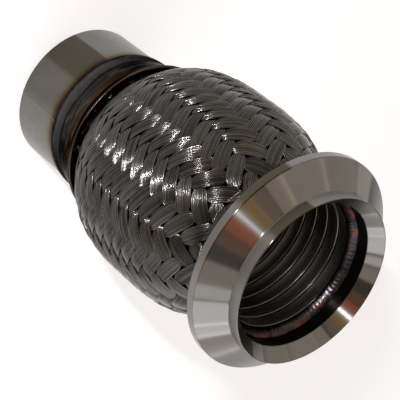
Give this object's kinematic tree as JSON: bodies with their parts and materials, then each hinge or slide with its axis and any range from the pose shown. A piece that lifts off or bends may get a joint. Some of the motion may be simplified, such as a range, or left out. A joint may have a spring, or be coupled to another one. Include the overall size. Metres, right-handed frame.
{
  "type": "flexible pipe",
  "caption": "Braided flexible metal pipe: a bulging woven sleeve over a bellows and an interlocked liner, with a plain tube stub at one end and a coned clamp flange at the other.",
  "frame": {"origin": "on the pipe's axis, in the plane of the stub's end face, which the pipe stands on", "axes": "+Z runs along the pipe from the stub's end face to the flange's mouth; +X and +Y are radial and no side is marked by them"},
  "size_m": [0.088, 0.088, 0.1514],
  "materials": {
    "stub_steel": "brushed tube, straw heat tint by the weld",
    "weld_steel": "dark blue-black weld bead",
    "cap_steel": "heat-darkened, brown and blue",
    "braid_steel": "bright wire braid, darkened at the stub end",
    "bellows_steel": "smooth rolled sheet",
    "liner_steel": "smooth rolled strip",
    "flange_steel": "turned and polished",
    "bead_tint": "weld bead with pink and blue heat tint"
  },
  "bodies": {
    "inlet_end": {"inlet_stub": "stub_steel", "inlet_weld": "weld_steel", "inlet_end_cap": "cap_steel", "braid": "braid_steel", "bellows": "bellows_steel", "interlock_liner": "liner_steel"},
    "outlet_end": {"outlet_end_cap": "cap_steel", "clamp_flange": "flange_steel", "outlet_weld": "bead_tint"}
  },
  "joints": [
    {"name": "flex_bend", "type": "hinge", "parent": "inlet_end", "child": "outlet_end", "pos_m": [0, 0, 0.0885], "axis": [1, 0, 0], "range_deg": [-8, 8], "stiffness_Nm_per_rad": 45, "deforming": ["braid", "bellows", "interlock_liner"]}
  ]
}
